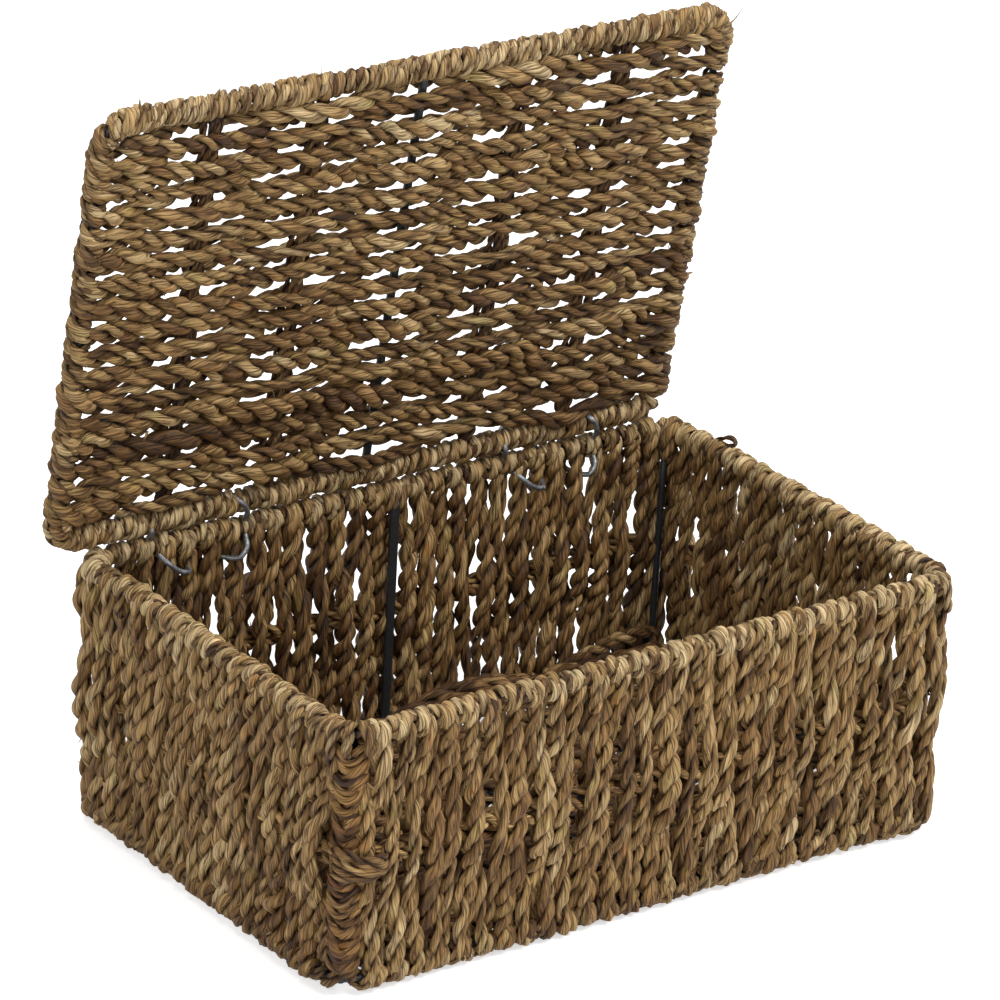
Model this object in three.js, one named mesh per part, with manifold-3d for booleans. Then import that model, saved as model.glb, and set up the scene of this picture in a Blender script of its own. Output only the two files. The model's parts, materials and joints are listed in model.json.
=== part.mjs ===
// A rectangular box woven from two-ply seagrass rope on a frame of steel wire.
// Its flat lid hangs on the back rim by four loose wire rings.
// Millimetres, +Z up, front towards -Y. The lid stands open, leaning a little over the box.

import * as THREE from 'three';
import { mergeVertices } from 'three/addons/utils/BufferGeometryUtils.js';
import Module from 'manifold-3d';

const wasm = await Module();
wasm.setup();

// Box: sizes between the centre lines of the rim wire
const rimWidth = 315;
const rimDepth = 200;
const rimHeight = 118.8;
const cornerRadius = 13;
const baseInset = 2;

// Steel wire and rods, as radii
const frameWireRadius = 1.6;
const railRadius = 1.2;
const postRadius = 1.6;
const ringWireRadius = 1;

// Flat bars that stand in the middle of the long walls
const barWidth = 4;
const barThickness = 2;

// Rope, counted in pairs: one rope passes before the rods and the next one behind them.
// The reach is how far the walls' ropes go on past the straight stretches of the rim.
const ropeRadius = 3.75;
const frontRopePairs = 27;
const sideRopePairs = 15;
const floorRowPairs = 17;
const lidRowPairs = 17;
const wallReach = 2.5;

// Rope wound round the frame wires, as outer radii
const rimBindingRadius = 5.8;
const baseRollRadius = 6.1;
const lidBindingRadius = 5.8;
const cornerWrapRadius = 6.3;
const wrappedCornerOpening = 5;

// Floor
const floorHeight = 7.4;
const floorStrutSpacing = 76;

// Lid: how far its frame wire stands out past the rim wire at each side. It is as long as the rim is deep.
const lidSideOverhang = 2.3;
const lidCornerRadius = 10;
const lidShift = -13.6;
const lidLean = THREE.MathUtils.degToRad(9.1);
const lidStakeSpacing = 53.3;

// Four hinge rings in two pairs
const ringPairOffset = 93;
const ringPairSpacing = 33;

// Clearances
const seatGap = 0.3;
const cutOverrun = 5;

const steelColour = 0x3b3d40;
const ropeColour = 0x8a744f;
const bindingColour = 0x9c8560;
const wrapColour = 0x9a7242;

// Worked out from the sizes above
const lidWidth = rimWidth + 2 * lidSideOverhang;
const lidLength = rimDepth;
const rim = { halfWidth: rimWidth / 2, halfDepth: rimDepth / 2, radius: cornerRadius };
const base = { halfWidth: rim.halfWidth - baseInset, halfDepth: rim.halfDepth - baseInset, radius: cornerRadius };
const lid = { halfWidth: lidWidth / 2, halfDepth: lidLength / 2, radius: lidCornerRadius };
const baseHeight = baseRollRadius;
const wallInset = baseInset / 2;
const wallBottom = baseHeight + baseRollRadius + seatGap;
const wallTop = rimHeight - rimBindingRadius - seatGap;
const wallHeight = wallTop - wallBottom;
const railHeight = (wallBottom + wallTop) / 2;
const cornerColumnReach = (cornerRadius + wallInset) * Math.SQRT1_2 - baseInset;
const railOverhang = cornerColumnReach - wallReach - cornerWrapRadius - seatGap;

// Round sections are polygons, so a ring turns round the corners of a winding.
const windingSides = 12;
const wireSides = 8;
const ringStepCount = 6;
const toCorner = (flatRadius, sides) => flatRadius / Math.cos(Math.PI / sides);
const rimBindingCorner = toCorner(rimBindingRadius, windingSides);
const lidBindingCorner = toCorner(lidBindingRadius, windingSides);
const ringWireCorner = toCorner(ringWireRadius, wireSides);
const hingeDrop = rimBindingCorner + lidBindingCorner + seatGap;
const ringInnerRadius = Math.max(rimBindingCorner, lidBindingCorner) + seatGap;
const ringBendRadius = toCorner(ringInnerRadius + ringWireCorner, 2 * ringStepCount);
const ringReach = ringBendRadius + ringWireCorner + seatGap;
const ringSlot = 2 * (ringWireCorner + seatGap);

// The origin lies under the middle of everything, so the side-shifted lid and the rings count.
const reachLeft = Math.max(rim.halfWidth + rimBindingRadius, lid.halfWidth + lidBindingRadius - lidShift);
const reachRight = Math.max(rim.halfWidth + rimBindingRadius, lid.halfWidth + lidBindingRadius + lidShift);
const reachFront = rim.halfDepth + rimBindingRadius;
const reachBack = rim.halfDepth + ringBendRadius + ringWireRadius;
const originShift = new THREE.Vector3((reachLeft - reachRight) / 2, (reachFront - reachBack) / 2, 0);

const steel = new THREE.MeshStandardMaterial({ color: steelColour, roughness: 0.5, metalness: 0.9 });
const rope = new THREE.MeshStandardMaterial({ color: ropeColour, roughness: 0.9, metalness: 0 });
const binding = new THREE.MeshStandardMaterial({ color: bindingColour, roughness: 0.9, metalness: 0 });
const wrap = new THREE.MeshStandardMaterial({ color: wrapColour, roughness: 0.85, metalness: 0 });

// A curve through given stations, each with its own point and direction.
class StationCurve extends THREE.Curve {
  constructor(stations) {
    super();
    this.stations = stations;
  }

  stationAt(u) {
    return this.stations[Math.round(u * (this.stations.length - 1))];
  }

  getPointAt(u, target = new THREE.Vector3()) {
    return target.copy(this.stationAt(u).point);
  }

  getTangentAt(u, target = new THREE.Vector3()) {
    return target.copy(this.stationAt(u).direction);
  }
}

function sweep(section, stations) {
  const extrudePath = new StationCurve(stations);
  return new THREE.ExtrudeGeometry(section, { steps: stations.length - 1, extrudePath });
}

// A regular polygon with flats square to its axes, measured to its flats
function polygon(flatRadius, sides) {
  const radius = toCorner(flatRadius, sides);
  const points = [];
  for (let i = 0; i < sides; i++) {
    const angle = (2 * Math.PI * (i + 0.5)) / sides;
    points.push(new THREE.Vector2(radius * Math.cos(angle), radius * Math.sin(angle)));
  }
  return points;
}

function wireSection(radius) {
  return new THREE.Shape(polygon(radius, wireSides));
}

// Rope wound round a wire: a thick sleeve with room for the wire in its bore
function windingSection(outerRadius, wireRadius) {
  const shape = new THREE.Shape(polygon(outerRadius, windingSides));
  shape.holes.push(new THREE.Path(polygon(wireRadius + seatGap, wireSides)));
  return shape;
}

// Corners are counted anticlockwise from the front right one.
const cornerSigns = [[1, -1], [1, 1], [-1, 1], [-1, -1]];
const frontLeft = cornerSigns.length - 1;
const cornerStepCount = 4;

// Stations along a stretch of one rounded corner, from one share of its quarter turn to another
function cornerArc(ring, corner, fromShare, toShare) {
  const [signX, signY] = cornerSigns[corner];
  const centreX = signX * (ring.halfWidth - ring.radius);
  const centreY = signY * (ring.halfDepth - ring.radius);
  const steps = Math.ceil((toShare - fromShare) * cornerStepCount);
  const stations = [];
  for (let i = 0; i <= steps; i++) {
    const share = THREE.MathUtils.lerp(fromShare, toShare, i / steps);
    const angle = (corner - 1 + share) * (Math.PI / 2);
    const x = Math.cos(angle);
    const y = Math.sin(angle);
    stations.push({
      point: new THREE.Vector3(centreX + ring.radius * x, centreY + ring.radius * y, 0),
      direction: new THREE.Vector3(-y, x, 0),
    });
  }
  return stations;
}

// The middle of a corner's arc, moved outwards by a given distance
function cornerMiddle(ring, corner, outward) {
  const [signX, signY] = cornerSigns[corner];
  const reach = (ring.radius + outward) * Math.SQRT1_2;
  return new THREE.Vector2(
    signX * (ring.halfWidth - ring.radius + reach),
    signY * (ring.halfDepth - ring.radius + reach),
  );
}

// One side of a winding, from the middle of a corner to the middle of the next.
// The two openings are the gaps left at those corners.
function windingSide(ring, side, section, startOpening, endOpening) {
  const quarterTurn = ring.radius * (Math.PI / 2);
  const startShare = 0.5 + startOpening / 2 / quarterTurn;
  const endShare = 0.5 - endOpening / 2 / quarterTurn;
  const first = cornerArc(ring, (side + 3) % 4, startShare, 1);
  const second = cornerArc(ring, side, 0, endShare);
  return sweep(section, [...first, ...second]);
}

// A closed wire ring, butted together in the middle of its back side
function wireRing(ring, radius) {
  const buttEnd = (x) => ({
    point: new THREE.Vector3(x, ring.halfDepth, 0),
    direction: new THREE.Vector3(-1, 0, 0),
  });
  const corners = [2, 3, 0, 1].flatMap((corner) => cornerArc(ring, corner, 0, 1));
  return sweep(wireSection(radius), [buttEnd(-seatGap / 2), ...corners, buttEnd(seatGap / 2)]);
}

// The outline of rope pairs laid side by side, seen along them: shares of the rope radius
const ribShares = [[-0.9, 0.5], [-0.5, 0.95], [0.5, 0.95], [0.9, 0.5]];

// A flat panel of rope pairs side by side. The ropes run along Z, and the panel lies in X and Z.
function ropePanel(width, length, count) {
  const pitch = width / count;
  const face = [];
  for (let i = 0; i < count; i++) {
    const middle = (i + 0.5) * pitch - width / 2;
    for (const [across, out] of ribShares) {
      face.push(new THREE.Vector2(middle + across * ropeRadius, out * ropeRadius));
    }
  }
  const back = face.map((point) => new THREE.Vector2(point.x, -point.y));
  const outline = new THREE.Shape([...back, ...face.reverse()]);
  const geometry = new THREE.ExtrudeGeometry(outline, { depth: length, bevelEnabled: false });
  return geometry.translate(0, 0, -length / 2);
}

// A straight rod centred on the origin, along X, Y or Z
function rod(radius, length, axis) {
  const sideways = new THREE.Vector3(0, 0, 1);
  const quaternion = new THREE.Quaternion().setFromUnitVectors(sideways, axis);
  const geometry = new THREE.ExtrudeGeometry(wireSection(radius), { depth: length, bevelEnabled: false });
  return geometry.translate(0, 0, -length / 2).applyQuaternion(quaternion);
}

const alongX = new THREE.Vector3(1, 0, 0);
const alongY = new THREE.Vector3(0, 1, 0);
const alongZ = new THREE.Vector3(0, 0, 1);

function toSolid(geometry) {
  const bare = geometry.clone();
  bare.deleteAttribute('normal');
  bare.deleteAttribute('uv');
  const merged = mergeVertices(bare);
  const triVerts = new Uint32Array(merged.index.array);
  const vertProperties = new Float32Array(merged.attributes.position.array);
  return new wasm.Manifold(new wasm.Mesh({ numProp: 3, vertProperties, triVerts }));
}

function cut(geometry, tools) {
  let solid = toSolid(geometry);
  for (const tool of tools) {
    solid = solid.subtract(toSolid(tool));
  }
  const mesh = solid.getMesh();
  const result = new THREE.BufferGeometry();
  result.setAttribute('position', new THREE.BufferAttribute(mesh.vertProperties, 3));
  result.setIndex(new THREE.BufferAttribute(mesh.triVerts, 1));
  result.computeVertexNormals();
  return result;
}

function piece(parent, name, geometry, material, x = 0, y = 0, z = 0) {
  const mesh = new THREE.Mesh(geometry, material);
  mesh.name = name;
  mesh.position.set(x, y, z);
  parent.add(mesh);
  return mesh;
}

const box = new THREE.Group();
box.position.copy(originShift);

const sideNames = ['front', 'right', 'back', 'left'];

// The steel frame: two rings, a post in each corner and a bar in the middle of each long wall
function addFrame() {
  piece(box, 'rim_wire', wireRing(rim, frameWireRadius), steel, 0, 0, rimHeight);
  piece(box, 'base_wire', wireRing(base, frameWireRadius), steel, 0, 0, baseHeight);

  const postNames = ['post_front_right', 'post_back_right', 'post_back_left'];
  const behindRope = wallInset - ropeRadius - seatGap - postRadius;
  postNames.forEach((name, corner) => {
    const place = cornerMiddle(base, corner, behindRope);
    piece(box, name, rod(postRadius, wallHeight, alongZ), steel, place.x, place.y, railHeight);
  });

  const wrappedPostHeight = rimHeight - baseHeight - 2 * (frameWireRadius + seatGap);
  const place = cornerMiddle(base, frontLeft, wallInset);
  const middle = (rimHeight + baseHeight) / 2;
  piece(box, 'post_front_left', rod(postRadius, wrappedPostHeight, alongZ), steel, place.x, place.y, middle);

  const barOffset = rim.halfDepth - wallInset - ropeRadius - seatGap - barThickness / 2;
  const bar = () => new THREE.BoxGeometry(barWidth, barThickness, wallHeight);
  piece(box, 'bar_front_middle', bar(), steel, 0, -barOffset, railHeight);
  piece(box, 'bar_back_middle', bar(), steel, 0, barOffset, railHeight);
}

const ringPlaces = [-1, 1].flatMap((pair) => [-1, 1].map(
  (half) => pair * ringPairOffset + half * (ringPairSpacing / 2),
));

// Slots in the edge of the back wall, where the hinge rings turn under the rim
function wallRingSlots() {
  const depth = ringReach - rimBindingRadius - seatGap + cutOverrun;
  return ringPlaces.map((x) => {
    const slot = new THREE.BoxGeometry(ringSlot, 2 * (ropeRadius + cutOverrun), depth);
    return slot.translate(x, 0, wallHeight / 2 + cutOverrun - depth / 2);
  });
}

// Four walls of upright rope, each woven round a rail at half height
function addWalls() {
  const longWidth = rimWidth - 2 * (cornerRadius - wallReach);
  const shortWidth = rimDepth - 2 * (cornerRadius - wallReach);
  const walls = [
    { width: longWidth, count: frontRopePairs, offset: rim.halfDepth - wallInset, slots: [] },
    { width: shortWidth, count: sideRopePairs, offset: rim.halfWidth - wallInset, slots: [] },
    { width: longWidth, count: frontRopePairs, offset: rim.halfDepth - wallInset, slots: wallRingSlots() },
    { width: shortWidth, count: sideRopePairs, offset: rim.halfWidth - wallInset, slots: [] },
  ];
  walls.forEach(({ width, count, offset, slots }, side) => {
    const turn = side * (Math.PI / 2);
    const x = offset * Math.sin(turn);
    const y = -offset * Math.cos(turn);
    const railLength = width + 2 * railOverhang;
    const bore = rod(railRadius + seatGap, width + 2 * cutOverrun, alongX);
    const panel = cut(ropePanel(width, wallHeight, count), [bore, ...slots]);
    const facing = side % 2 === 0 ? 0 : turn;
    piece(box, `wall_${sideNames[side]}`, panel, rope, x, y, railHeight).rotation.z = facing;
    const rail = rod(railRadius, railLength, alongX);
    piece(box, `rail_${sideNames[side]}`, rail, steel, x, y, railHeight).rotation.z = facing;
  });
}

// Upright ropes that close three corners, and the wound column at the fourth
function addCorners() {
  const cornerNames = ['corner_rope_front_right', 'corner_rope_back_right', 'corner_rope_back_left'];
  cornerNames.forEach((name, corner) => {
    const place = cornerMiddle(base, corner, wallInset);
    piece(box, name, rod(ropeRadius, wallHeight, alongZ), rope, place.x, place.y, railHeight);
  });

  const place = cornerMiddle(base, frontLeft, wallInset);
  const section = windingSection(cornerWrapRadius, postRadius);
  const column = new THREE.ExtrudeGeometry(section, { depth: wallHeight, bevelEnabled: false });
  piece(box, 'corner_wrap_front_left', column, wrap, place.x, place.y, wallBottom);
}

// Rope wound round the rim wire and rolled under the base wire, side by side.
// Both leave the wires bare at the wrapped corner.
function addWindings() {
  const rimSection = windingSection(rimBindingRadius, frameWireRadius);
  const baseSection = windingSection(baseRollRadius, frameWireRadius);
  sideNames.forEach((name, side) => {
    const start = (side + 3) % 4 === frontLeft ? wrappedCornerOpening : seatGap;
    const end = side === frontLeft ? wrappedCornerOpening : seatGap;
    piece(box, `rim_binding_${name}`, windingSide(rim, side, rimSection, start, end), binding, 0, 0, rimHeight);
    piece(box, `base_roll_${name}`, windingSide(base, side, baseSection, start, end), rope, 0, 0, baseHeight);
  });
}

// Room for the windings that run round the corners of a ring, cut out of the panel inside it
function cornerCuts(ring, windingRadius) {
  const section = new THREE.Shape(polygon(windingRadius + seatGap, windingSides));
  return cornerSigns.map((signs, corner) => sweep(section, cornerArc(ring, corner, 0, 1)));
}

// A floor of rope rows along the length, woven round three struts
function addFloor() {
  const edge = baseRollRadius + seatGap;
  const length = 2 * (base.halfWidth - edge);
  const width = 2 * (base.halfDepth - edge);
  const rows = ropePanel(width, length, floorRowPairs).rotateX(Math.PI / 2).rotateZ(Math.PI / 2);
  const strutPlaces = [-floorStrutSpacing, 0, floorStrutSpacing];
  const bores = strutPlaces.map((x) => {
    const bore = rod(railRadius + seatGap, width + 2 * cutOverrun, alongY);
    return bore.translate(x, 0, 0);
  });
  const corners = cornerCuts(base, baseRollRadius);
  corners.forEach((corner) => corner.translate(0, 0, baseHeight - floorHeight));
  piece(box, 'floor_weave', cut(rows, [...bores, ...corners]), rope, 0, 0, floorHeight);
  const strutNames = ['floor_strut_left', 'floor_strut_middle', 'floor_strut_right'];
  strutNames.forEach((name, i) => {
    piece(box, name, rod(railRadius, width, alongY), steel, strutPlaces[i], 0, floorHeight);
  });
}

// One link round the two back bars, bent from wire: its ends meet halfway up its front leg
function addRings() {
  const legMiddle = hingeDrop / 2;
  const stations = [];
  const leg = (z) => ({ point: new THREE.Vector3(0, -ringBendRadius, z), direction: new THREE.Vector3(0, 0, -1) });
  stations.push(leg(legMiddle - seatGap / 2));
  for (const [centreZ, startAngle] of [[0, Math.PI], [hingeDrop, 2 * Math.PI]]) {
    for (let i = 0; i <= ringStepCount; i++) {
      const angle = startAngle + (Math.PI * i) / ringStepCount;
      const y = Math.cos(angle);
      const z = Math.sin(angle);
      stations.push({
        point: new THREE.Vector3(0, ringBendRadius * y, centreZ + ringBendRadius * z),
        direction: new THREE.Vector3(0, -z, y),
      });
    }
  }
  stations.push(leg(legMiddle + seatGap / 2));
  const ringNames = ['hinge_ring_1', 'hinge_ring_2', 'hinge_ring_3', 'hinge_ring_4'];
  ringNames.forEach((name, i) => {
    const link = sweep(wireSection(ringWireRadius), stations);
    piece(box, name, link, steel, ringPlaces[i], rim.halfDepth, rimHeight);
  });
}

// The lid is laid out flat, with its back wire along X at the origin and its length along Y.
// It then stands up on the hinge, leaning forward.
function addLid() {
  const hinge = new THREE.Group();
  hinge.position.set(lidShift, rim.halfDepth, rimHeight + hingeDrop);
  hinge.rotation.x = Math.PI / 2 + lidLean;
  box.add(hinge);
  const flat = new THREE.Group();
  flat.position.set(0, lid.halfDepth, 0);
  hinge.add(flat);

  piece(flat, 'lid_wire', wireRing(lid, frameWireRadius), steel);
  const section = windingSection(lidBindingRadius, frameWireRadius);
  const windingNames = ['lid_binding_hinge', 'lid_roll_right', 'lid_binding_front', 'lid_roll_left'];
  windingNames.forEach((name, side) => {
    const material = side % 2 === 0 ? binding : rope;
    piece(flat, name, windingSide(lid, side, section, seatGap, seatGap), material);
  });

  const edge = lidBindingRadius + seatGap;
  const length = 2 * (lid.halfWidth - edge);
  const width = 2 * (lid.halfDepth - edge);
  const rows = ropePanel(width, length, lidRowPairs).rotateX(Math.PI / 2).rotateZ(Math.PI / 2);
  const stakePlaces = [-2, -1, 0, 1, 2].map((step) => step * lidStakeSpacing);
  const bores = stakePlaces.map((x) => {
    const bore = rod(railRadius + seatGap, width + 2 * cutOverrun, alongY);
    return bore.translate(x, 0, 0);
  });
  const slotDepth = ringReach - edge + cutOverrun;
  const slots = ringPlaces.map((x) => {
    const slot = new THREE.BoxGeometry(ringSlot, slotDepth, 2 * (ropeRadius + cutOverrun));
    return slot.translate(x - lidShift, slotDepth / 2 - cutOverrun - width / 2, 0);
  });
  piece(flat, 'lid_weave', cut(rows, [...bores, ...slots, ...cornerCuts(lid, lidBindingRadius)]), rope);

  const stakeNames = ['lid_stake_1', 'lid_stake_2', 'lid_middle_rod', 'lid_stake_3', 'lid_stake_4'];
  stakeNames.forEach((name, i) => {
    piece(flat, name, rod(railRadius, width, alongY), steel, stakePlaces[i]);
  });
}

addFrame();
addWalls();
addCorners();
addWindings();
addFloor();
addRings();
addLid();

const liddedBox = new THREE.Group();
liddedBox.add(box);

export default liddedBox;
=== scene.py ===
import json
import math

import bpy
import numpy as np
from mathutils import Matrix, Vector


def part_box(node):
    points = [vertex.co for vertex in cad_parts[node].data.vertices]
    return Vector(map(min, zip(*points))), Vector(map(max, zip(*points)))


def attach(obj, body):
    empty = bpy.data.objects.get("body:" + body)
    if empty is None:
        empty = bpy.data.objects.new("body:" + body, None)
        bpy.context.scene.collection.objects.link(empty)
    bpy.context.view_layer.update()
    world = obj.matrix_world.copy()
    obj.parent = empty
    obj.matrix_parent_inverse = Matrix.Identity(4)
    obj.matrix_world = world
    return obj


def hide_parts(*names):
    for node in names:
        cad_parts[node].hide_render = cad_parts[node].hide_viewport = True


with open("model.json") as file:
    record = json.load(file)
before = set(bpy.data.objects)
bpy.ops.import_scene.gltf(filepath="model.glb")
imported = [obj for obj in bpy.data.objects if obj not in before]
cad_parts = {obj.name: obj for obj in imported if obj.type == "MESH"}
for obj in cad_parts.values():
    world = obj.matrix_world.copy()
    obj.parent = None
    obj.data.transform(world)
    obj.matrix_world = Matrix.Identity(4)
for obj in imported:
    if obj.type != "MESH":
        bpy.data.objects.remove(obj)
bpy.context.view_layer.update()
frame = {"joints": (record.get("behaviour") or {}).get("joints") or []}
scene = bpy.context.scene

MM = 0.001
TURN = 2 * math.pi
UP = np.array([0.0, 0.0, 1.0])
RIGHT = np.array([1.0, 0.0, 0.0])


def node_box(name):
    """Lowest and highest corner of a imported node, in millimetres"""
    low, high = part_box(name)
    return np.array(low) / MM, np.array(high) / MM


def node_middle(name):
    return sum(node_box(name)) / 2


def wire_radius(name, axis=2):
    """Half the size of a node along one axis"""
    low, high = node_box(name)
    return (high[axis] - low[axis]) / 2


def straight(name, axis, past=0.0, count=6):
    """Points along a straight node and a little past its ends"""
    low, high = node_box(name)
    points = np.repeat(node_middle(name)[None], count, 0)
    points[:, axis] = np.linspace(low[axis] - past, high[axis] + past, count)
    return points


def unit(vectors):
    vectors = np.asarray(vectors, float)
    return vectors / np.linalg.norm(vectors, axis=-1, keepdims=True)


def side_by_side(*values):
    """Numbers and arrays as the columns of one array"""
    return np.stack(np.broadcast_arrays(*values), -1)


def hump(values, middle, width, power=2):
    """A smooth hump, 1 at its middle"""
    return np.exp(-((values - middle) / width) ** power)


# Sizes of the rope
ROPE_RADIUS = 3.7
PLIES = 2
PLY_REACH = 1.78
PLY_DEPTH = 1.95
PLY_WIDTH = 2.35
FIBRE_TWIST = 1.6
ROPE_STEP = 1.35
ROPE_SIDES = 12
WALL_TURN = 23.0
LID_TURN = 21.0
BINDING_TURN = 18.0
LEAST_NARROWING = 0.94
LOOP_NARROWING = 0.80
LOOP_TWIST = 1.35
RIDGES = ((2, 0.07), (3, 0.09), (4, 0.085), (5, 0.08))

# Sizes of the weave
CORNER_RADIUS = 13.0
LID_CORNER_RADIUS = 10.0
ROPE_PITCH = 5.45
LOOP_HALF_THICKNESS = 2.4
LOOP_FLATNESS = LOOP_HALF_THICKNESS / ROPE_RADIUS
# How far the rows pass before and behind their rods
RAIL_DEPTH = 4.6
FLOOR_DEPTH = 2.4
LID_DEPTH = 4.3
# How much the rows differ in that depth and in tone
DEPTH_SPREAD = 0.16
ROW_TONE_SPREAD = 0.07
FLOOR_ROWS = 34
LID_ROWS = 34
LID_BINDING = 5.8
# How a winding strays from an even coil: slant, change of slant and its spacing, angle of the slant, spacing
# and amount of its wander along the wire, and wander away from it
WALL_COIL = (1.3, 0.8, 10, 0.5, 8, 0.6, 0.30)
LID_COIL = (1.2, 0.9, 11, 0.6, 9, 0.7, 0.32)
WINDING_STEP = 1.3
RING_SAG = 2.8
# How each hinge ring stands: half its reach along the rim, lean to the left, shift along the rim,
# and the angle in degrees at which it comes nearest to the inside of the box
RING_STANDS = (
    (9.5, 0.45, -7.0, 212),
    (-10.5, 0.12, -11.0, 190),
    (9.5, 0.58, -4.8, 212),
    (-7.5, 0.05, -4.8, 186),
)
RING_CREST = 4.2
RING_FRONT = 6.9
COLUMN_OPENING = 4.2
# Room for the corner column, which the first and the last wall piece take in
COLUMN_ROOM = 20

# The frame's own places
RIM_Z = node_middle("rim_wire")[2]
BASE_Z = node_middle("base_wire")[2]
RIM_BINDING = wire_radius("rim_binding_front")
BASE_ROLL = wire_radius("base_roll_front")


# Where the corners and sides of a rounded rectangle meet, anticlockwise from the middle of the front left
# corner: quarter turns of the outward direction, and signs of the nearest corner's centre
QUARTERS = np.array([-1.5, -1, -1, 0, 0, 1, 1, 2, 2, 2.5])
CENTRE_SIGNS = np.repeat([(-1, -1), (1, -1), (1, 1), (-1, 1), (-1, -1)], 2, 0)


class Ring:
    """A rounded rectangle of wire. A place on it is the number of a side or corner and a share of that."""

    def __init__(self, middle, half, radius):
        self.middle, self.half, self.radius = middle, half, radius
        straights = np.abs(np.diff(CENTRE_SIGNS, axis=0)) @ (half - radius)
        self.stretches = straights + radius * TURN / 4 * np.diff(QUARTERS)
        self.stops = np.concatenate([[0], np.cumsum(self.stretches)])
        self.length = self.stops[-1]

    def middle_of(self, number):
        """Distance along the ring to the middle of a side or corner"""
        return (self.stops[number] + self.stops[number + 1]) / 2

    def locate(self, distance):
        """Numbers and shares for distances along the ring"""
        number = np.clip(np.searchsorted(self.stops, distance, side="right") - 1, 0, 8)
        return number, (distance - self.stops[number]) / self.stretches[number]

    def place(self, number, share):
        """Points and outward directions in the ring's plane"""
        angle = TURN / 4 * (QUARTERS[number] * (1 - share) + QUARTERS[number + 1] * share)
        normal = side_by_side(np.cos(angle), np.sin(angle))
        share = share[..., None]
        centre = CENTRE_SIGNS[number] * (1 - share) + CENTRE_SIGNS[number + 1] * share
        return self.middle + centre * (self.half - self.radius) + self.radius * normal, normal

    def at(self, distance):
        """Points and outward directions for distances along the ring"""
        return self.place(*self.locate(distance))

    def outline(self):
        return self.at(np.linspace(0, self.length - 0.01, 160))[0]


def node_ring(name, radius):
    low, high = node_box(name)
    return Ring((low + high)[:2] / 2, (high - low)[:2] / 2 - wire_radius(name), radius)


rim = node_ring("rim_wire", CORNER_RADIUS)
base = node_ring("base_wire", CORNER_RADIUS)


def smooth_wander(rng, distance, spacing, amount):
    """A smooth random walk along a strand, with a new value every so many millimetres"""
    place = distance / spacing + rng.random()
    whole = place.astype(int)
    values = rng.normal(0, amount, whole.max() + 2)
    share = place - whole
    blend = share * share * (3 - 2 * share)
    return values[whole] * (1 - blend) + values[whole + 1] * blend


def spline(points, step, parts=10):
    """A smooth curve through rows of numbers, whose first three are a point, with even steps along it"""
    points = np.asarray(points, float)
    padded = np.vstack([2 * points[0] - points[1], points, 2 * points[-1] - points[-2]])
    t = np.linspace(0, 1, parts, endpoint=False)[None, :, None]
    a, b, c, d = (padded[i:len(points) - 1 + i, None] for i in range(4))
    curve = b + t * (c - a) / 2 + t * t * (a - 2.5 * b + 2 * c - d / 2)
    curve = curve + t ** 3 * (1.5 * (b - c) + (d - a) / 2)
    curve = np.vstack([curve.reshape(-1, points.shape[1]), points[-1]])
    run = np.concatenate([[0], np.cumsum(np.linalg.norm(np.diff(curve[:, :3], axis=0), axis=1))])
    count = max(int(round(run[-1] / step)), 4)
    even = np.linspace(0, run[-1], count + 1)
    return np.stack([np.interp(even, run, column) for column in curve.T], -1), even


def cross_frame(path, reference):
    """For each station: the reference made square to the path, and the direction square to both"""
    along = unit(np.gradient(path, axis=0))
    out = unit(reference - (reference * along).sum(-1, keepdims=True) * along)
    return out, np.cross(along, out)


def new_object(name, data):
    made = bpy.data.objects.new(name, data)
    scene.collection.objects.link(made)
    return made


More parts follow.
